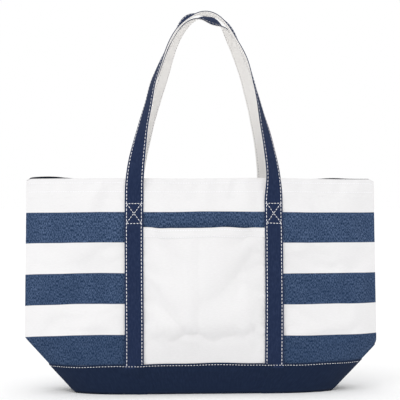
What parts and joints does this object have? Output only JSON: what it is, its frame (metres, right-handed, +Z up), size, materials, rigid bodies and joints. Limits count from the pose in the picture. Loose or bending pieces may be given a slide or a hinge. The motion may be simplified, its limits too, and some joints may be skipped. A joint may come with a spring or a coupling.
{
  "type": "canvas tote bag",
  "caption": "Striped canvas tote with boxed lower corners, a navy boot, an open front pocket and swinging webbing handles.",
  "frame": {"origin": "centre of the base, on the floor", "axes": "+X along the width, -Y towards the pocket side, +Z up to the handles"},
  "size_m": [0.524, 0.1453, 0.5605],
  "materials": {
    "striped_canvas": "woven canvas in broad white and mid-blue horizontal stripes",
    "pocket_canvas": "plain off-white canvas",
    "boot_canvas": "plain navy canvas",
    "strap_webbing": "navy canvas strap, plain weave",
    "rim_facing": "dark navy cotton facing",
    "handle_lining": "natural canvas lining",
    "seam_binding": "natural cotton tape",
    "thread": "off-white thread"
  },
  "bodies": {
    "bag": {"front_panel": "striped_canvas", "back_panel": "striped_canvas", "base_boot": "boot_canvas", "front_pocket": "pocket_canvas", "front_left_strap_leg": "strap_webbing", "front_right_strap_leg": "strap_webbing", "back_left_strap_leg": "strap_webbing", "back_right_strap_leg": "strap_webbing", "front_rim_facing": "rim_facing", "back_rim_facing": "rim_facing", "left_side_seam_binding": "seam_binding", "right_side_seam_binding": "seam_binding", "left_corner_seam_binding": "seam_binding", "right_corner_seam_binding": "seam_binding", "front_strap_stitching": "thread", "back_strap_stitching": "thread", "front_box_stitching": "thread", "back_box_stitching": "thread", "front_boot_topstitch": "thread", "back_boot_topstitch": "thread", "front_rim_stitching": "thread", "back_rim_stitching": "thread", "pocket_hem_stitching": "thread"},
    "front_handle": {"front_handle_outer": "strap_webbing", "front_handle_lining": "handle_lining", "front_handle_stitching": "thread"},
    "back_handle": {"back_handle_outer": "strap_webbing", "back_handle_lining": "handle_lining", "back_handle_stitching": "thread"}
  },
  "joints": [
    {"name": "front_handle_swing", "type": "hinge", "parent": "bag", "child": "front_handle", "pos_m": [0, -0.05614, 0.278], "axis": [1, 0, 0], "range_deg": [0, 165]},
    {"name": "back_handle_swing", "type": "hinge", "parent": "bag", "child": "back_handle", "pos_m": [0, 0.05614, 0.278], "axis": [-1, 0, 0], "range_deg": [0, 165]}
  ]
}
